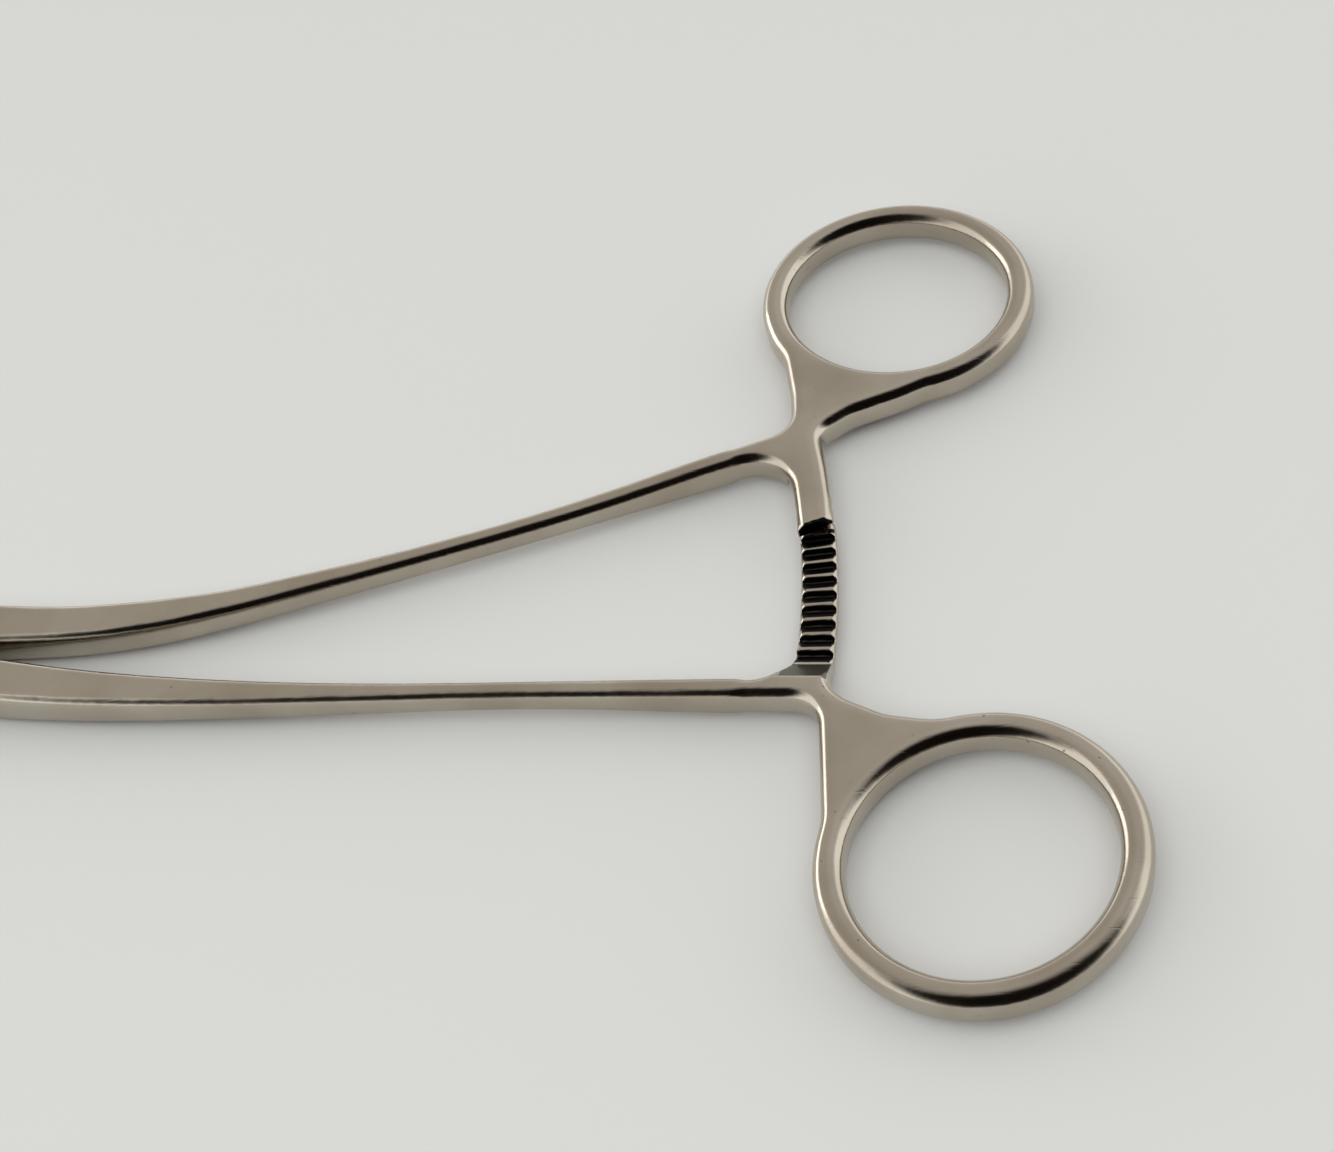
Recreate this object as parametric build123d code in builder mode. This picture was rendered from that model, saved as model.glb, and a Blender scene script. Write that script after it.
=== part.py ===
from build123d import *

import math
import os
from dataclasses import dataclass

os.makedirs("parts", exist_ok=True)

# A ring-handled ratchet clamp with a box lock, in millimetres.
# +X runs from the hinge towards the finger rings and +Z is up. The origin is on the
# hinge axis, at the underside of the box lock, which is the face the clamp rests on.
# Both halves are drawn as they lie with the first ratchet tooth engaged.

# Thickness from below upwards; everything is centred on one middle plane.
lock_thickness = 5.4
shank_thickness = 3.2
ring_thickness = 4.0
jaw_tip_thickness = 3.2
edge_round = 0.95
web_bevel = 0.8

# Box lock: a disc of two plates on the box half, a thin tongue on the other half.
lock_radius = 6.2
lock_edge_chamfer = 0.3
shank_root_step = 0.2
shank_start = 0.5
shank_overlap = 2.5
tongue_thickness = 2.2
tongue_disc_radius = 4.1
tongue_reach = 9.5
tongue_inner_edge = 0.5
tongue_outer_edge = 5.0
tongue_gap = 0.08
shoulder_gap = 0.15

# Hinge pin, a plain rivet ground flush with both plates.
pin_radius = 1.6
pin_chamfer = 0.15
pin_running_gap = 0.04

# Hinge travel from the drawn pose, the closing one as a length round the ratchet.
# The closed line is where the two jaws meet.
closing_travel = 16.98
opening_angle = 18.0
closed_line_angle = -10.5
sweep_steps = 6

# Jaws, measured along the closed line from the hinge.
jaw_length = 62.0
jaw_root_length = 2.0
jaw_root_width = 5.2
jaw_bend_width_share = 0.9
jaw_bend_thickness_share = 0.92
jaw_tip_width = 2.5
jaw_meeting_gap = 0.1
jaw_tip_round = 1.6
serration_pitch = 1.2
serration_depth = 0.35
serration_start = 14.0
serration_end_margin = 2.0

# Finger rings.
ring_long_semi_axis = 15.0
ring_short_semi_axis = 14.24
ring_band_width = 3.04

# Ratchet arms: arcs about the hinge, each half as thick as the rings. Places along an
# arm are lengths round its middle line, from y = 0 towards +Y.
ratchet_radius = 108.1
ratchet_width = 4.1
ratchet_face_gap = 0.12
ratchet_side_gap = 0.4
ratchet_bevel = 0.5
cut_past_arm = 2.0
web_cut_past_arm = 6.0
arm_tip_waste = 1.6
tooth_pitch = 1.974
tooth_depth = 0.6
tooth_land = 0.35
tooth_steep_share = 0.15
box_tooth_count = 9
tongue_tooth_count = 3
box_arm_tip = 5.66
tongue_arm_tip = 4.06
tongue_tip_slant = 11.0
first_land = 3.94
web_ramp_run = 3.0
web_clearance = 0.94
box_arm_root = -18.1
tongue_arm_root = 17.55
box_inside_bevel_start = -11.5

middle = lock_thickness / 2
shank_root_thickness = lock_thickness - 2 * shank_root_step
ring_bottom = middle - ring_thickness / 2
ring_top = middle + ring_thickness / 2
crest_height = middle - ratchet_face_gap / 2
arm_inside = ratchet_radius - ratchet_width / 2
arm_outside = ratchet_radius + ratchet_width / 2
closing_angle = math.degrees(closing_travel / ratchet_radius)
tongue_line_angle = closed_line_angle + closing_angle


@dataclass
class Handle:
    """The plan of one half's handle. Side is +1 where the handle lies towards +Y.

    Points beside the ratchet arm are given by their x beyond one of its edges, and those
    at the ring by their x beyond the ratchet radius, so that they follow both. A round is
    a corner near its point, and a radius.
    """

    side: int
    line_angle: float
    shank: list  # share of the ratchet radius, y and width, from the box lock to the web
    stub: list  # the shank's straight end inside the web, from the arm's inside
    neck_outside: list  # the web's corners, from the arm round the ring and back
    neck_ring: list
    neck_inside: list
    rounds_outside: list
    rounds_ring: list
    rounds_inside: list
    ring_corner: tuple  # near corner of the ring's square, x from the ratchet radius
    ring_turn: float
    arm_tip: float
    tip_slant: float  # turn of the arm's cut end from square, in degrees
    arm_root: float


box_handle = Handle(
    side=-1,
    line_angle=closed_line_angle,
    shank=[
        (0.111, -5.3, 5.8),
        (0.207, -7.5, 5.0),
        (0.302, -9.2, 4.2),
        (0.4375, -11.1, 3.2),
        (0.583, -12.75, 2.5),
        (0.74, -14.5, 2.4),
    ],
    stub=[(-9.05, -15.4), (-9.05, -17.9), (2.15, -19.2), (2.15, -16.9)],
    neck_outside=[(-3.55, -15.0), (0.25, -19.4), (4.45, -21.9)],
    neck_ring=[(12.9, -23.5), (9.9, -30.0), (3.9, -36.0), (-0.4, -34.2)],
    neck_inside=[(1.65, -18.0)],
    rounds_outside=[(-1.3, -17.5, 3.0), (0.25, -19.4, 4.0), (4.45, -21.9, 6.0)],
    rounds_ring=[(11.7, -23.1, 8.0), (-0.4, -33.4, 8.0)],
    rounds_inside=[(-1.05, -16.3, 4.5), (1.65, -19.2, 3.5)],
    ring_corner=(0.5, -24.66),
    ring_turn=42.0,
    arm_tip=box_arm_tip,
    tip_slant=0.0,
    arm_root=box_arm_root,
)

tongue_handle = Handle(
    side=1,
    line_angle=tongue_line_angle,
    shank=[
        (0.097, 3.1, 5.6),
        (0.185, 2.1, 5.0),
        (0.259, 1.95, 4.6),
        (0.3265, 2.4, 4.0),
        (0.416, 3.74, 3.3),
        (0.505, 5.4, 2.8),
        (0.592, 7.2, 2.5),
        (0.768, 11.5, 2.5),
    ],
    stub=[(-10.05, 16.2), (-10.05, 13.6), (1.45, 16.5), (1.45, 19.3)],
    neck_outside=[(-3.65, 13.5), (-0.55, 18.3), (2.45, 20.2)],
    neck_ring=[(10.4, 21.9), (17.4, 24.6), (8.9, 30.0), (0.9, 35.0), (-3.7, 34.5)],
    neck_inside=[(-0.45, 24.0), (-0.45, 17.0)],
    rounds_outside=[(-1.25, 17.0, 1.8), (-0.55, 18.3, 1.4), (2.45, 20.2, 4.0)],
    rounds_ring=[(10.4, 21.9, 10.0), (-3.5, 31.5, 8.0)],
    rounds_inside=[(-0.85, 15.6, 5.0), (-0.35, 18.9, 3.5), (-0.45, 24.0, 8.0)],
    ring_corner=(-3.76, 24.66),
    ring_turn=-36.0,
    arm_tip=tongue_arm_tip,
    tip_slant=tongue_tip_slant,
    arm_root=tongue_arm_root,
)


def beyond(edge, points):
    """Points whose x is given beyond an edge of the ratchet arm."""
    return [(edge + point[0], *point[1:]) for point in points]


def on_line(handle, along, across):
    """A point given along the half's closed line, and across it towards its own shank."""
    turn = math.radians(handle.line_angle)
    left = across * handle.side
    x = along * math.cos(turn) - left * math.sin(turn)
    y = along * math.sin(turn) + left * math.cos(turn)
    return (x, y)


def cross_section(x, y, heading, width, thickness):
    """A rounded section across a bar that runs along heading, in degrees."""
    turn = math.radians(heading)
    place = Plane(
        origin=(x, y, middle),
        x_dir=(-math.sin(turn), math.cos(turn), 0),
        z_dir=(math.cos(turn), math.sin(turn), 0),
    )
    with BuildSketch(place) as section:
        RectangleRounded(width, thickness, edge_round)
    return section.sketch


def heading_between(first, last):
    return math.degrees(math.atan2(last[1] - first[1], last[0] - first[0]))


def shank_sections(handle):
    """Sections from inside the lock disc, along the slender shank, into the web."""
    root_width = lock_radius - jaw_meeting_gap
    root_x, root_y = on_line(handle, shank_start, jaw_meeting_gap + root_width / 2)
    near, far, far_inside = beyond(arm_inside, handle.stub)[:3]
    into_stub = shank_overlap * (far_inside[1] - far[1]) / (far_inside[0] - far[0])
    stub_y = (near[1] + far[1]) / 2
    stub_width = abs(near[1] - far[1])
    places = [(root_x, root_y, root_width)]
    places += [(share * ratchet_radius, y, width) for share, y, width in handle.shank]
    places += [(near[0], stub_y, stub_width)]
    places += [(near[0] + shank_overlap, stub_y + into_stub, stub_width)]
    slender = min(width for _, _, width in places)
    sections = []
    for index, (x, y, width) in enumerate(places):
        before = places[max(index - 1, 0)]
        after = places[min(index + 1, len(places) - 1)]
        heading = heading_between(before, after)
        if index == 0:
            heading = handle.line_angle
        if index == len(places) - 1:
            heading = heading_between(far, far_inside)
        fullness = (width - slender) / (root_width - slender)
        thickness = shank_thickness + fullness * (shank_root_thickness - shank_thickness)
        if index >= len(places) - 2:
            thickness = ring_thickness
        sections.append(cross_section(x, y, heading, width, thickness))
    return sections


def jaw_sections(handle):
    """Sections of a bar as wide as both jaws together, from the lock to the tips."""
    start = on_line(handle, -jaw_root_length, 0)
    bend = on_line(handle, -serration_start, 0)
    tip = on_line(handle, -jaw_length, 0)
    heading = handle.line_angle
    bend_width = 2 * jaw_bend_width_share * jaw_root_width
    bend_thickness = jaw_bend_thickness_share * lock_thickness
    return [
        cross_section(start[0], start[1], heading, 2 * jaw_root_width, lock_thickness),
        cross_section(bend[0], bend[1], heading, bend_width, bend_thickness),
        cross_section(tip[0], tip[1], heading, 2 * jaw_tip_width, jaw_tip_thickness),
    ]


def round_hinge(length):
    """The angle about the hinge, in degrees, of a length round the ratchet."""
    return math.degrees(length / ratchet_radius)


def ratchet_band(first, last, spare=0.0):
    """The plan of a ratchet arm between two places along it, with spare on its sides."""
    start = round_hinge(first)
    sweep = round_hinge(last - first)
    with BuildSketch() as band:
        with BuildLine():
            inner_arc = CenterArc((0, 0), arm_inside - spare, start, sweep)
            outer_arc = CenterArc((0, 0), arm_outside + spare, start, sweep)
            Line(inner_arc @ 0, outer_arc @ 0)
            Line(inner_arc @ 1, outer_arc @ 1)
        make_face()
    return band.sketch


def web_plan(handle):
    """Ring, web, ratchet arm and the end of the shank in one outline with round corners."""
    half_band = ring_band_width / 2
    ring_x = ratchet_radius + handle.ring_corner[0] + ring_short_semi_axis
    ring_y = handle.ring_corner[1] + handle.side * ring_short_semi_axis
    neck = beyond(arm_outside, handle.neck_outside)
    neck += beyond(ratchet_radius, handle.neck_ring)
    neck += beyond(arm_inside, handle.neck_inside)
    rounds = beyond(arm_inside, handle.rounds_inside)
    rounds += beyond(arm_outside, handle.rounds_outside)
    rounds += beyond(ratchet_radius, handle.rounds_ring)
    with BuildSketch() as plan:
        with BuildLine():
            Polyline(*beyond(arm_inside, handle.stub), close=True)
        make_face()
        with BuildLine():
            Polyline(*neck, close=True)
        make_face()
        add(ratchet_band(handle.arm_tip - handle.side * arm_tip_waste, handle.arm_root))
        with Locations((ring_x, ring_y)):
            Ellipse(
                ring_long_semi_axis + half_band,
                ring_short_semi_axis + half_band,
                rotation=handle.ring_turn,
            )
        for x, y, radius in rounds:
            corner = plan.vertices().sort_by_distance((x, y))[0]
            fillet(corner, radius=radius)
        with Locations((ring_x, ring_y)):
            Ellipse(
                ring_long_semi_axis - half_band,
                ring_short_semi_axis - half_band,
                rotation=handle.ring_turn,
                mode=Mode.SUBTRACT,
            )
    return plan.sketch


def arm_end_plane(handle):
    """The plane of the cut that ends a ratchet arm: x runs along the cut, y up the arm."""
    place = math.radians(round_hinge(handle.arm_tip))
    cut = place + math.radians(handle.tip_slant)
    return Plane(
        origin=(ratchet_radius * math.cos(place), ratchet_radius * math.sin(place), ring_bottom),
        x_dir=(math.cos(cut), math.sin(cut), 0),
        z_dir=(0, 0, 1),
    )


def ring_and_web(handle):
    """The web's plan as a bevelled block, with the ratchet arm's tip cut off crisply."""
    waste_side = Align.MAX if handle.side > 0 else Align.MIN
    with BuildPart() as block:
        with BuildSketch(Plane.XY.offset(ring_bottom)):
            add(web_plan(handle))
        extrude(amount=ring_thickness)
        outline = block.faces().filter_by(Axis.Z).edges().sort_by(Axis.X)
        chamfer(outline[2:], length=web_bevel)
        with BuildSketch(arm_end_plane(handle)):
            Rectangle(
                ratchet_width + 2 * cut_past_arm,
                2 * arm_tip_waste,
                align=(Align.CENTER, waste_side),
            )
        extrude(amount=ring_thickness, mode=Mode.SUBTRACT)
    return block.part


def tongue_plan(turn, spare=0.0):
    """The thin tongue across the hinge, turned about it from its drawn place."""
    with BuildSketch(Plane.XY.rotated((0, 0, tongue_line_angle + turn))) as plan:
        with BuildLine():
            Polyline(
                (tongue_reach, tongue_inner_edge),
                (tongue_reach, tongue_outer_edge),
                (-tongue_reach, -tongue_inner_edge),
                (-tongue_reach, -tongue_outer_edge),
                close=True,
            )
        make_face()
        Circle(tongue_disc_radius)
        if spare:
            offset(amount=spare)
    return plan.sketch


def arm_plane(place, radius, height):
    """A plane across a ratchet arm: local x runs round the hinge, local y is up."""
    turn = place / ratchet_radius
    return Plane(
        origin=(radius * math.cos(turn), radius * math.sin(turn), height),
        x_dir=(-math.sin(turn), math.cos(turn), 0),
        z_dir=(math.cos(turn), math.sin(turn), 0),
    )


def across_arm(place, height, past_arm, *corners):
    """A prism right across the ratchet arm, with its corners as distance round and up."""
    reach = ratchet_width / 2 + past_arm
    with BuildPart() as prism:
        with BuildSketch(arm_plane(place, ratchet_radius - reach, height)):
            with BuildLine():
                Polyline(*corners, close=True)
            make_face()
        extrude(amount=2 * reach)
    return prism.part


def groove(place, face_height, depth, steep_side):
    """A ratchet groove. Depth is negative where it is cut upwards, into the other face."""
    half_width = (tooth_pitch - tooth_land) / 2
    root = half_width * (1 - 2 * tooth_steep_share) * steep_side
    corners = ((-half_width, 0), (half_width, 0), (root, -depth))
    return across_arm(place, face_height, cut_past_arm, *corners)


def relief(first, last, bottom, top, side_gap):
    """Room for the other half's arm, between two places along it and two heights."""
    with BuildPart() as room:
        with BuildSketch(Plane.XY.offset(bottom)):
            add(ratchet_band(first, last, side_gap))
        extrude(amount=top - bottom)
    return room.part


def arm_bevel(edge, inwards, first, last, face_height):
    """What the bevel along one edge of the upper ratchet face takes away."""
    start = first / ratchet_radius
    leg = ratchet_bevel + ratchet_side_gap
    outer = edge - inwards * ratchet_side_gap
    across = Plane(
        origin=(0, 0, face_height),
        x_dir=(math.cos(start), math.sin(start), 0),
        z_dir=(math.sin(start), -math.cos(start), 0),
    )
    with BuildPart() as wedge:
        with BuildSketch(across):
            with BuildLine():
                Polyline(
                    (edge + inwards * ratchet_bevel, 0),
                    (outer, 0),
                    (outer, -leg),
                    close=True,
                )
            make_face()
        revolve(axis=Axis.Z, revolution_arc=round_hinge(last - first))
    return wedge.part


def tip_corner(handle, outwards):
    """What the rounding of a jaw's tip takes away."""
    tip = jaw_tip_round - jaw_length
    with BuildPart() as corner:
        with BuildSketch(Plane.XY.rotated((0, 0, handle.line_angle))):
            with Locations((-jaw_length, outwards * jaw_tip_width)):
                Rectangle(2 * jaw_tip_round, 2 * jaw_tip_round)
            with Locations((tip, outwards * (jaw_tip_width - jaw_tip_round))):
                Circle(jaw_tip_round, mode=Mode.SUBTRACT)
        extrude(amount=lock_thickness)
    return corner.part


def jaw(handle):
    """One jaw: a tapered bar kept on one side of the closed line, with cross serrations."""
    line = math.radians(handle.line_angle)
    outwards = -handle.side
    facing = (-math.sin(line) * outwards, math.cos(line) * outwards, 0)
    meeting = Plane(
        origin=Vector(*facing) * jaw_meeting_gap,
        x_dir=(-math.cos(line), -math.sin(line), 0),
        z_dir=facing,
    )
    serrated = jaw_length - serration_end_margin - serration_start
    count = int(serrated / serration_pitch) + 1
    with BuildPart() as piece:
        for section in jaw_sections(handle):
            add(section)
        loft()
        split(bisect_by=meeting, keep=Keep.TOP)
        with BuildSketch(Plane.XY.rotated((0, 0, handle.line_angle))):
            for index in range(count):
                along = -(serration_start + index * serration_pitch)
                face = outwards * jaw_meeting_gap
                with BuildLine():
                    Polyline(
                        (along - serration_depth, face),
                        (along + serration_depth, face),
                        (along, face + outwards * serration_depth),
                        close=True,
                    )
                make_face()
        extrude(amount=lock_thickness, mode=Mode.SUBTRACT)
        add(tip_corner(handle, outwards), mode=Mode.SUBTRACT)
    return piece.part


def handle_bar(handle):
    with BuildPart() as bar:
        for section in shank_sections(handle):
            add(section)
        loft()
    return bar.part


def make_box_half():
    """The half with the box: two plates round the tongue, joined by a cheek on each side."""
    ramp_start = first_land - box_tooth_count * tooth_pitch
    rise = ring_top - crest_height
    beyond_tip = box_arm_tip + web_clearance
    with BuildPart() as half:
        with BuildSketch():
            Circle(lock_radius)
        extrude(amount=lock_thickness)
        chamfer(half.edges(), length=lock_edge_chamfer)
        add(handle_bar(box_handle))
        add(jaw(box_handle))
        add(ring_and_web(box_handle))
        for step in range(sweep_steps):
            turn = -closing_angle + step * (closing_angle + opening_angle) / (sweep_steps - 1)
            with BuildSketch(Plane.XY.offset(middle - tongue_thickness / 2 - tongue_gap)):
                add(tongue_plan(turn, tongue_gap))
            extrude(amount=tongue_thickness + 2 * tongue_gap, mode=Mode.SUBTRACT)
        with BuildSketch():
            Circle(pin_radius)
        extrude(amount=lock_thickness, mode=Mode.SUBTRACT)
        room = relief(ramp_start, beyond_tip, crest_height, ring_top, web_cut_past_arm)
        add(room, mode=Mode.SUBTRACT)
        slope = ((0, 0), (0, rise), (-web_ramp_run, rise))
        ramp = across_arm(ramp_start, crest_height, web_cut_past_arm, *slope)
        add(ramp, mode=Mode.SUBTRACT)
        for edge, inwards, first in (
            (arm_inside, 1, box_inside_bevel_start),
            (arm_outside, -1, ramp_start),
        ):
            bevel = arm_bevel(edge, inwards, first, beyond_tip, crest_height)
            add(bevel, mode=Mode.SUBTRACT)
        for index in range(box_tooth_count):
            place = first_land - (index + 0.5) * tooth_pitch
            add(groove(place, crest_height, tooth_depth, 1), mode=Mode.SUBTRACT)
    half.part.label = "box_half"
    return half.part


def make_tongue_half():
    """The half that is thinned to a tongue where it passes through the box."""
    face_height = middle + ratchet_face_gap / 2
    relief_start = tongue_arm_tip - web_clearance
    relief_end = box_arm_tip + closing_travel + web_clearance
    with BuildPart() as half:
        add(handle_bar(tongue_handle))
        add(jaw(tongue_handle))
        with BuildSketch():
            Circle(lock_radius + shoulder_gap)
        extrude(amount=lock_thickness, mode=Mode.SUBTRACT)
        with BuildSketch(Plane.XY.offset(middle - tongue_thickness / 2)):
            add(tongue_plan(0))
        extrude(amount=tongue_thickness)
        with BuildSketch():
            Circle(pin_radius + pin_running_gap)
        extrude(amount=lock_thickness, mode=Mode.SUBTRACT)
        add(ring_and_web(tongue_handle))
        room = relief(relief_start, relief_end, ring_bottom, face_height, ratchet_side_gap)
        add(room, mode=Mode.SUBTRACT)
        for index in range(tongue_tooth_count):
            place = first_land + (index + 0.5) * tooth_pitch
            add(groove(place, face_height, -tooth_depth, -1), mode=Mode.SUBTRACT)
    half.part.label = "tongue_half"
    return half.part


def make_pivot_pin():
    """A plain rivet through both plates, with its ends ground flush."""
    with BuildPart() as pin:
        with BuildSketch():
            Circle(pin_radius)
        extrude(amount=lock_thickness)
        chamfer(pin.edges(), length=pin_chamfer)
    pin.part.label = "pivot_pin"
    return pin.part


box_half = make_box_half()
tongue_half = make_tongue_half()
pivot_pin = make_pivot_pin()

export_step(box_half, "parts/box_half.step")
export_step(tongue_half, "parts/tongue_half.step")
export_step(pivot_pin, "parts/pivot_pin.step")
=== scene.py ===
import math

import bmesh
import bpy
from mathutils import Matrix, Vector


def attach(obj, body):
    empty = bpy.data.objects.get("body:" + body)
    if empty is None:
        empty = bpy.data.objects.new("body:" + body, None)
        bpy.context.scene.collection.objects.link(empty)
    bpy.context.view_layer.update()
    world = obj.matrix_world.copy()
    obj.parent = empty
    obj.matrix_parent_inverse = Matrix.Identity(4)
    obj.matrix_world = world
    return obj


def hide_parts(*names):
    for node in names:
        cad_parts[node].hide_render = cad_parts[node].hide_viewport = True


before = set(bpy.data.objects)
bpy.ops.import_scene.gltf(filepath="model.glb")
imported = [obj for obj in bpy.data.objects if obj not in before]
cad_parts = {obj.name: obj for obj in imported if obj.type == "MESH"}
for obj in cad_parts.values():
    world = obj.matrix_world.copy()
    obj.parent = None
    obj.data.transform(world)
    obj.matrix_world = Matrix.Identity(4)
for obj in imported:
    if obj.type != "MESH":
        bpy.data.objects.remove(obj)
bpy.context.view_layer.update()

MM = 0.001

# ------------------------------------------------------------ sizes, in millimetres

# The clamp's own sizes. Places along a ratchet arm are lengths round the hinge, from
# y = 0 towards +Y, and heights are above the face that it lies on.
RATCHET_RADIUS = 108.1
RATCHET_WIDTH = 4.1
RATCHET_BEVEL = 0.5
TOOTH_PITCH = 1.974
TOOTH_DEPTH = 0.6
GROOVES = 9
FIRST_LAND = 3.94
RAMP_START = FIRST_LAND - GROOVES * TOOTH_PITCH
RAMP_RUN = 3.0
BOX_ARM_TIP = 5.66
TONGUE_ARM_TIP = 4.06
TONGUE_TIP_SLANT = 11.0  # degrees
INSIDE_BEVEL_START = -11.5
WEB_BEVEL = 0.8
CREST_HEIGHT = 2.64
RING_TOP = 4.7
LOCK_RADIUS = 6.2
SERRATION_START = 14.0

# The halves' skin is an even mesh of small cells. It is smoothed a little everywhere and
# a lot where it is forged, then swelled back to its size and thinned.
MERGE_REACH = 0.002
SKIN_CELL = 0.2
SMOOTHING = 0.5
CUT_PASSES = 2
FORGED_PASSES = 36
ROUNDING_REACH = 0.06
TRIANGLES_KEPT = 0.68

# Where the skin stays crisp, and how far past that it takes to be fully forged.
CRISP_PAST_LOCK = 2.0
LOCK_TO_FORGED = 5.0
CRISP_BEFORE_SERRATIONS = 2.0
JAW_WEAR = 0.35
CRISP_BESIDE_ARM = 1.0
ARM_TO_FORGED = 2.0

# The skin is drawn back in the box lock, so that the halves slide clear of each other.
LOCK_RELIEF = 0.04
LOCK_REACH = 10.0
LOCK_BLEND = 6.0

# ------------------------------------------------------------ table, light and camera

FLOOR_SIZE = 4.0  # metres from the middle to an edge
LIT_POINT = (0.1, 0, 0)  # metres, in the middle of the handles
ROOM_BRIGHTNESS = 1.4
CAMERA_PLACE = Vector((129.20, -133.70, 165.53)) * MM
CAMERA_TURNS = (("Z", 15.856), ("X", 40.552), ("Z", -18.636))  # degrees
CAMERA_LENS = 52.09
SENSOR_WIDTH = 36.0
NEAREST_SEEN = 0.01  # metres


def linear(hex_colour):
    """An sRGB hex colour as linear RGBA."""
    channels = [int(hex_colour[i : i + 2], 16) / 255 for i in (0, 2, 4)]
    return [c / 12.92 if c <= 0.04045 else ((c + 0.055) / 1.055) ** 2.4 for c in channels] + [1.0]


def clamp01(value):
    return max(0.0, min(1.0, value))


def add_node(owner, kind, settings=None, **inputs):
    """A node with its settings and its inputs. An input is named, or given by its place as
    in _0. It is a value, another node's output, or a node whose first live output is meant."""
    node = owner.node_tree.nodes.new("ShaderNode" + kind)
    for name, value in (settings or {}).items():
        setattr(node, name, value)
    for name, value in inputs.items():
        socket = node.inputs[int(name[1:]) if name[0] == "_" else name.replace("_", " ")]
        if isinstance(value, bpy.types.Node):
            value = next(output for output in value.outputs if output.enabled)
        if isinstance(value, bpy.types.NodeSocket):
            owner.node_tree.links.new(value, socket)
        else:
            socket.default_value = value
    return node


# ---------------------------------------------------------------- materials

def new_material(name):
    material = bpy.data.materials.new(name)
    material.use_nodes = True
    material.node_tree.nodes.clear()
    return material


def between(m, value, low, high):
    """1 where a value lies between two places, given in millimetres, falling to 0 over a
    soft edge."""
    soft = 0.04
    steps = [
        add_node(
            m,
            "MapRange",
            {"interpolation_type": "SMOOTHSTEP"},
            Value=value,
            From_Min=start * MM,
            From_Max=end * MM,
        )
        for start, end in ((low - soft, low + soft), (high + soft, high - soft))
    ]
    return add_node(m, "Math", {"operation": "MULTIPLY"}, _0=steps[0], _1=steps[1])


def depth_under(m, top, height, off_middle, bevel, bevelled=1.0):
    """Depth under an arm's upper face, which falls away at 45 degrees down its bevels."""
    flat_half = (RATCHET_WIDTH / 2 - bevel) * MM
    past_flat = add_node(m, "Math", {"operation": "SUBTRACT"}, _0=off_middle, _1=flat_half)
    fall = add_node(m, "Math", {"operation": "MAXIMUM"}, _0=past_flat, _1=0.0)
    fall = add_node(m, "Math", {"operation": "MULTIPLY"}, _0=fall, _1=bevelled)
    raised = add_node(m, "Math", {"operation": "ADD"}, _0=height, _1=fall)
    return add_node(m, "Math", {"operation": "SUBTRACT"}, _0=top * MM, _1=raised)


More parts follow.
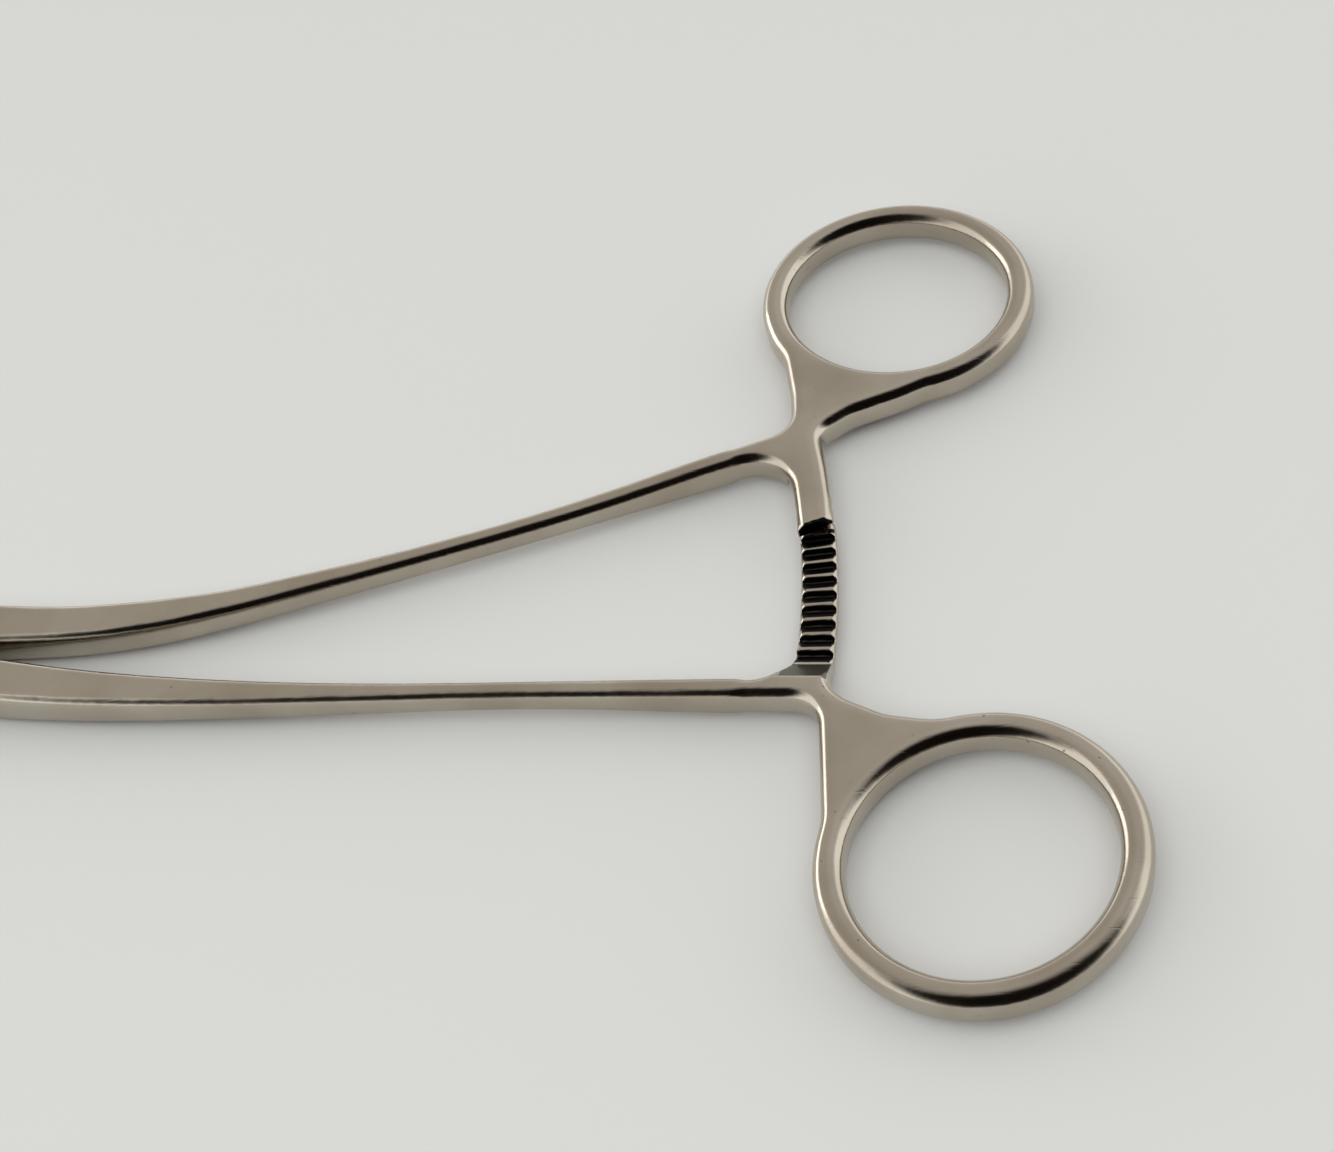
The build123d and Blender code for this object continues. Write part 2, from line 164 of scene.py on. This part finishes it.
def ratchet_painted_shade(m, place):
    """The share of near-black painted shade on the ratchet: nearly all of it in the grooves
    and under the short arm's end, less on the ramp up to the web, and thinner along each
    groove's root, which leaves a painted highlight line there. The bevels and side walls get none."""
    unshaded_side = 0.15
    reach_on_web = 1.2
    groove_lip = 0.06
    past_root = 0.2
    root_band = 0.12
    root_highlight = 0.2
    ramp_lip = 0.1
    ramp_share = 0.7
    end_lip = 0.15
    before_end = 0.5
    past_end = 0.1

    flat = add_node(m, "VectorMath", {"operation": "MULTIPLY"}, _0=place, _1=(1, 1, 0))
    radius = add_node(m, "VectorMath", {"operation": "LENGTH"}, _0=flat)
    x, y, height = add_node(m, "SeparateXYZ", Vector=place).outputs
    turn = add_node(m, "Math", {"operation": "ARCTAN2"}, _0=y, _1=x)
    along = add_node(m, "Math", {"operation": "MULTIPLY"}, _0=turn, _1=RATCHET_RADIUS * MM)
    outwards = add_node(m, "Math", {"operation": "SUBTRACT"}, _0=radius, _1=RATCHET_RADIUS * MM)
    off_middle = add_node(m, "Math", {"operation": "ABSOLUTE"}, _0=outwards)

    # The inside edge has no bevel beside the last groove, which runs on into the web.
    wide_start = (INSIDE_BEVEL_START - 0.3) * MM
    past_bevel = add_node(m, "Math", {"operation": "LESS_THAN"}, _0=along, _1=wide_start)
    inside = add_node(m, "Math", {"operation": "LESS_THAN"}, _0=outwards, _1=0.0)
    wide = add_node(m, "Math", {"operation": "MULTIPLY"}, _0=past_bevel, _1=inside)
    bevelled = add_node(m, "Math", {"operation": "SUBTRACT"}, _0=1.0, _1=wide)
    reach = add_node(
        m,
        "Math",
        {"operation": "MULTIPLY_ADD"},
        _0=wide,
        _1=reach_on_web * MM,
        _2=(RATCHET_WIDTH / 2 - unshaded_side) * MM,
    )
    on_arm = add_node(m, "Math", {"operation": "LESS_THAN"}, _0=off_middle, _1=reach)

    depth = depth_under(m, CREST_HEIGHT, height, off_middle, RATCHET_BEVEL, bevelled)
    # Painted shade in the grooves, thinned over a band at each root to leave a painted highlight
    # line.
    toothed = between(m, along, RAMP_START, BOX_ARM_TIP)
    sunk = between(m, depth, groove_lip, TOOTH_DEPTH + past_root)
    grooves = add_node(m, "Math", {"operation": "MULTIPLY"}, _0=toothed, _1=sunk)
    roots = between(m, depth, TOOTH_DEPTH - root_band, TOOTH_DEPTH)
    shade_kept_at_roots = add_node(m, "Math", {"operation": "MULTIPLY_ADD"}, _0=roots, _1=-root_highlight, _2=1.0)
    grooves = add_node(m, "Math", {"operation": "MULTIPLY"}, _0=grooves, _1=shade_kept_at_roots)

    # Painted shade on the ramp up to the web, at ramp_share of full strength.
    on_ramp = between(m, along, RAMP_START - RAMP_RUN, RAMP_START)
    climb = between(m, height, CREST_HEIGHT - ramp_lip, RING_TOP - ramp_lip)
    ramp = add_node(m, "Math", {"operation": "MULTIPLY"}, _0=on_ramp, _1=climb)
    ramp = add_node(m, "Math", {"operation": "MULTIPLY"}, _0=ramp, _1=ramp_share)

    # The short arm's end face is cut on a slant, under its own bevels.
    lean = math.tan(math.radians(TONGUE_TIP_SLANT))
    slant = add_node(m, "Math", {"operation": "MULTIPLY"}, _0=outwards, _1=lean)
    along_slant = add_node(m, "Math", {"operation": "SUBTRACT"}, _0=along, _1=slant)
    under_top = depth_under(m, RING_TOP, height, off_middle, WEB_BEVEL)
    # Painted shade on the short arm's slanted end face, below its upper edge.
    at_end = between(m, along_slant, TONGUE_ARM_TIP - before_end, TONGUE_ARM_TIP + past_end)
    below_lip = between(m, under_top, end_lip, RING_TOP - CREST_HEIGHT)
    tip = add_node(m, "Math", {"operation": "MULTIPLY"}, _0=at_end, _1=below_lip)

    darkest = add_node(m, "Math", {"operation": "MAXIMUM"}, _0=grooves, _1=tip)
    darkest = add_node(m, "Math", {"operation": "MAXIMUM"}, _0=darkest, _1=ramp)
    return add_node(m, "Math", {"operation": "MULTIPLY"}, _0=on_arm, _1=darkest)


def satin_stainless():
    """Martensitic stainless steel, forged, tumbled and polished satin. Its colour is a
    warm grey with faint brown clouds from sterilising, with fine scratches and pits, and
    near-black painted shade in the ratchet's grooves, on its ramp and under the short arm's end."""
    m = new_material("satin_stainless_steel")
    place = add_node(m, "TexCoord").outputs["Object"]

    # Clouds of slight tarnish. The polish is duller where they are browner.
    cloud_width = 12 * MM
    clouds = add_node(m, "TexNoise", Vector=place, Scale=1 / cloud_width, Detail=3.0, Roughness=0.5)
    tint = add_node(m, "ValToRGB", Fac=clouds)
    browner, paler = tint.color_ramp.elements
    browner.position = 0.34
    browner.color = linear("B0A697")
    paler.position = 0.66
    paler.color = linear("C0B8AA")
    polish = add_node(
        m, "MapRange", Value=clouds, From_Min=0.3, From_Max=0.7, To_Min=0.22, To_Max=0.15
    )

    # Pits about 0.15 mm wide, few and dark: the peaks of a coarser pattern.
    pit_pattern = 0.8 * MM
    pits = add_node(m, "TexNoise", Vector=place, Scale=1 / pit_pattern, Detail=1.0)
    pit_share = add_node(m, "MapRange", Value=pits, From_Min=0.76, From_Max=0.82, To_Max=0.6)
    pitted = add_node(m, "Mix", {"data_type": "RGBA"}, _0=pit_share, _6=tint, _7=linear("3A322B"))

    # Near-black painted shade on the ratchet, mixed over the steel's colour; it also makes the
    # steel rougher there.
    painted_shade = ratchet_painted_shade(m, place)
    with_painted_shade = add_node(m, "Mix", {"data_type": "RGBA"}, _0=painted_shade, _6=pitted, _7=linear("171413"))
    rough = add_node(m, "Math", {"operation": "MULTIPLY_ADD"}, _0=painted_shade, _1=0.2, _2=polish)

    # Hand grinding leaves the faces a little wavy.
    wave_length = 4 * MM
    waves = add_node(m, "TexNoise", Vector=place, Scale=1 / wave_length, Detail=1.5)
    wavy = add_node(m, "Bump", Height=waves, Strength=0.3, Distance=0.2 * MM)

    # Scratches of use along the clamp, about 0.1 mm wide and 2 mm long: the peaks of a
    # stretched pattern. Two layers lie over each other, and each turn gives another layer.
    scratch_pattern = (5 * MM, 0.25 * MM, 2 * MM)
    layers = []
    for turn in (0.5, -0.9):
        stretched = add_node(
            m,
            "Mapping",
            Vector=place,
            Rotation=(0, 0, turn),
            Scale=[1 / length for length in scratch_pattern],
        )
        lines = add_node(m, "TexNoise", Vector=stretched, Scale=1.0, Detail=2.0)
        layers.append(add_node(m, "MapRange", Value=lines, From_Min=0.62, From_Max=0.72))
    scratches = add_node(m, "Math", {"operation": "ADD"}, _0=layers[0], _1=layers[1])
    scratched = add_node(
        m,
        "Bump",
        {"invert": True},
        Height=scratches,
        Normal=wavy,
        Strength=0.25,
        Distance=0.02 * MM,
    )

    # Tumbling grain, coarser than the real one so that it shows.
    grain_width = 0.3 * MM
    grain = add_node(m, "TexNoise", Vector=place, Scale=1 / grain_width, Detail=2.0)
    skin = add_node(m, "Bump", Height=grain, Normal=scratched, Strength=0.12, Distance=0.02 * MM)

    shader = add_node(
        m, "BsdfPrincipled", Base_Color=with_painted_shade, Metallic=1.0, Roughness=rough, Normal=skin
    )
    add_node(m, "OutputMaterial", Surface=shader)
    return m


def ground_rivet():
    """The rivet's ends, ground flush with the lock and so brighter, with turned rings
    left by the wheel."""
    m = new_material("ground_rivet_steel")
    place = add_node(m, "TexCoord").outputs["Object"]
    stain_width = 1.5 * MM
    stain = add_node(m, "TexNoise", Vector=place, Scale=1 / stain_width, Detail=3.0)
    pale = linear("D2CCC4")
    tint = add_node(m, "Mix", {"data_type": "RGBA"}, _0=stain, _6=linear("B0A79C"), _7=pale)
    # Grinding rings round the hinge. The texture's own rings are a twentieth of tau apart.
    ring_spacing = 0.12 * MM
    rings = add_node(
        m,
        "TexWave",
        {"wave_type": "RINGS", "rings_direction": "Z"},
        Vector=place,
        Scale=math.tau / 20 / ring_spacing,
        Distortion=1.5,
        Detail=1.0,
        Detail_Scale=0.5,
    )
    ridged = add_node(m, "Bump", Height=rings.outputs["Fac"], Strength=0.2, Distance=0.01 * MM)
    shader = add_node(
        m, "BsdfPrincipled", Base_Color=tint, Metallic=1.0, Roughness=0.24, Normal=ridged
    )
    add_node(m, "OutputMaterial", Surface=shader)
    return m


def pale_laminate():
    """The table's matt pale laminate."""
    m = new_material("pale_laminate")
    shader = add_node(m, "BsdfPrincipled", Base_Color=linear("E3E4E2"), Roughness=0.6)
    add_node(m, "OutputMaterial", Surface=shader)
    return m


# ---------------------------------------------------------------- pieces

def forged_share(point):
    """How far a place is worn round by forging and tumbling: 1 on the handles, a little
    on the jaws, and 0 at the box lock and the ratchet's cuts."""
    x, y = point.x / MM, point.y / MM
    radius = math.hypot(x, y)
    if x > 0:
        off_lock = clamp01((radius - LOCK_RADIUS - CRISP_PAST_LOCK) / LOCK_TO_FORGED)
    elif radius > SERRATION_START - CRISP_BEFORE_SERRATIONS:
        off_lock = JAW_WEAR
    else:
        off_lock = 0.0
    along = math.atan2(y, x) * RATCHET_RADIUS
    before_ramp = RAMP_START - RAMP_RUN - along
    past_teeth = along - FIRST_LAND
    beside_arm = abs(radius - RATCHET_RADIUS) - RATCHET_WIDTH / 2 - CRISP_BESIDE_ARM
    off_teeth = clamp01(max(before_ramp, past_teeth, beside_arm) / ARM_TO_FORGED)
    return min(off_lock, off_teeth)


def apply_modifiers(piece):
    depsgraph = bpy.context.evaluated_depsgraph_get()
    finished = bpy.data.meshes.new_from_object(piece.evaluated_get(depsgraph))
    piece.modifiers.clear()
    piece.data = finished


def wear_skin(piece):
    """Rounds a half's edges as a forging's are, and clears its box lock."""
    remesh = piece.modifiers.new("even_skin", "REMESH")
    remesh.mode = "VOXEL"
    remesh.voxel_size = SKIN_CELL * MM
    apply_modifiers(piece)
    forged = piece.vertex_groups.new(name="forged")
    lock = piece.vertex_groups.new(name="lock")
    for vertex in piece.data.vertices:
        forged.add([vertex.index], forged_share(vertex.co), "REPLACE")
        past_lock = vertex.co.xy.length / MM - LOCK_REACH
        lock.add([vertex.index], clamp01(1.0 - past_lock / LOCK_BLEND), "REPLACE")
    for group, passes in (("", CUT_PASSES), ("forged", FORGED_PASSES)):
        smooth = piece.modifiers.new("rounding", "SMOOTH")
        smooth.factor = SMOOTHING
        smooth.iterations = passes
        smooth.vertex_group = group
    for group, outwards in (("forged", ROUNDING_REACH), ("lock", -LOCK_RELIEF)):
        move = piece.modifiers.new("move_skin", "DISPLACE")
        move.strength = outwards * MM
        move.mid_level = 0.0
        move.vertex_group = group
    thin = piece.modifiers.new("thin", "DECIMATE")
    thin.ratio = TRIANGLES_KEPT
    apply_modifiers(piece)


def make_piece(node, body, material):
    """One half of the clamp, made from its CAD mesh with its doubles merged."""
    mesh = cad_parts[node].data.copy()
    mesh.name = node + "_forging"
    bm = bmesh.new()
    bm.from_mesh(mesh)
    bmesh.ops.remove_doubles(bm, verts=bm.verts, dist=MERGE_REACH * MM)
    bm.to_mesh(mesh)
    bm.free()
    mesh.materials.clear()
    mesh.materials.append(material)
    piece = bpy.data.objects.new(node + "_forging", mesh)
    bpy.context.scene.collection.objects.link(piece)
    wear_skin(piece)
    piece.data.polygons.foreach_set("use_smooth", [True] * len(piece.data.polygons))
    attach(piece, body)
    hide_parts(node)


# ---------------------------------------------------------------- surroundings

def make_floor():
    bm = bmesh.new()
    bmesh.ops.create_grid(bm, x_segments=1, y_segments=1, size=FLOOR_SIZE)
    mesh = bpy.data.meshes.new("table_top")
    bm.to_mesh(mesh)
    bm.free()
    mesh.materials.append(pale_laminate())
    floor = bpy.data.objects.new("table_top", mesh)
    bpy.context.scene.collection.objects.link(floor)


def make_room():
    """A pale room that lights the table and shows in the steel: brightest low at the
    window, half bright in two patches high over the far side, and dark high over the near
    side. Each patch has a direction, the angles from it where it starts and where it is
    whole, and a colour."""
    world = bpy.data.worlds.new("room")
    world.use_nodes = True
    world.node_tree.nodes.clear()
    place = add_node(world, "TexCoord").outputs["Generated"]
    colour = linear("F4F4F2")
    for towards, outer, inner, shade in (
        ((-0.85, 0.45, 0.2), 45, 22, "FFFFFF"),
        ((-0.1, 0.63, 0.76), 50, 26, "B4B2B0"),
        ((-0.5, 0.52, 0.69), 34, 18, "A8A49E"),
        ((0.18, -0.66, 0.73), 66, 38, "0C0907"),
    ):
        facing = add_node(
            world,
            "VectorMath",
            {"operation": "DOT_PRODUCT"},
            _0=place,
            _1=Vector(towards).normalized(),
        )
        share = add_node(
            world,
            "MapRange",
            {"interpolation_type": "SMOOTHSTEP"},
            Value=facing,
            From_Min=math.cos(math.radians(outer)),
            From_Max=math.cos(math.radians(inner)),
        )
        patch = linear(shade)
        colour = add_node(world, "Mix", {"data_type": "RGBA"}, _0=share, _6=colour, _7=patch)
    sky = add_node(world, "Background", Color=colour, Strength=ROOM_BRIGHTNESS)
    add_node(world, "OutputWorld", Surface=sky)
    bpy.context.scene.world = world


def soft_light(name, place, size, power, seen_in_steel=True):
    """A large diffuse panel, in metres and watts, turned towards the clamp."""
    light = bpy.data.lights.new(name, "AREA")
    light.shape = "RECTANGLE"
    light.size, light.size_y = size
    light.energy = power
    lamp = bpy.data.objects.new(name, light)
    bpy.context.scene.collection.objects.link(lamp)
    lamp.location = place
    lamp.rotation_euler = (Vector(LIT_POINT) - Vector(place)).to_track_quat("-Z", "Y").to_euler()
    lamp.visible_glossy = seen_in_steel


def make_camera():
    camera = bpy.data.cameras.new("camera")
    camera.sensor_width = SENSOR_WIDTH
    camera.lens = CAMERA_LENS
    camera.clip_start = NEAREST_SEEN
    eye = bpy.data.objects.new("camera", camera)
    bpy.context.scene.collection.objects.link(eye)
    stand = Matrix.Translation(CAMERA_PLACE)
    for axis, degrees in CAMERA_TURNS:
        stand = stand @ Matrix.Rotation(math.radians(degrees), 4, axis)
    eye.matrix_world = stand
    bpy.context.scene.camera = eye


# ---------------------------------------------------------------- the scene

steel = satin_stainless()
make_piece("box_half", "box_side", steel)
make_piece("tongue_half", "tongue_side", steel)
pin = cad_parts["pivot_pin"]
pin.material_slots[0].material = ground_rivet()

make_floor()
make_room()
soft_light("window", (-1.4, 0.8, 0.45), size=(1.0, 0.7), power=3.0)
soft_light("ceiling", (0.1, -0.5, 1.45), size=(2.0, 2.0), power=15.0, seen_in_steel=False)
make_camera()
bpy.context.scene.view_settings.view_transform = "Standard"
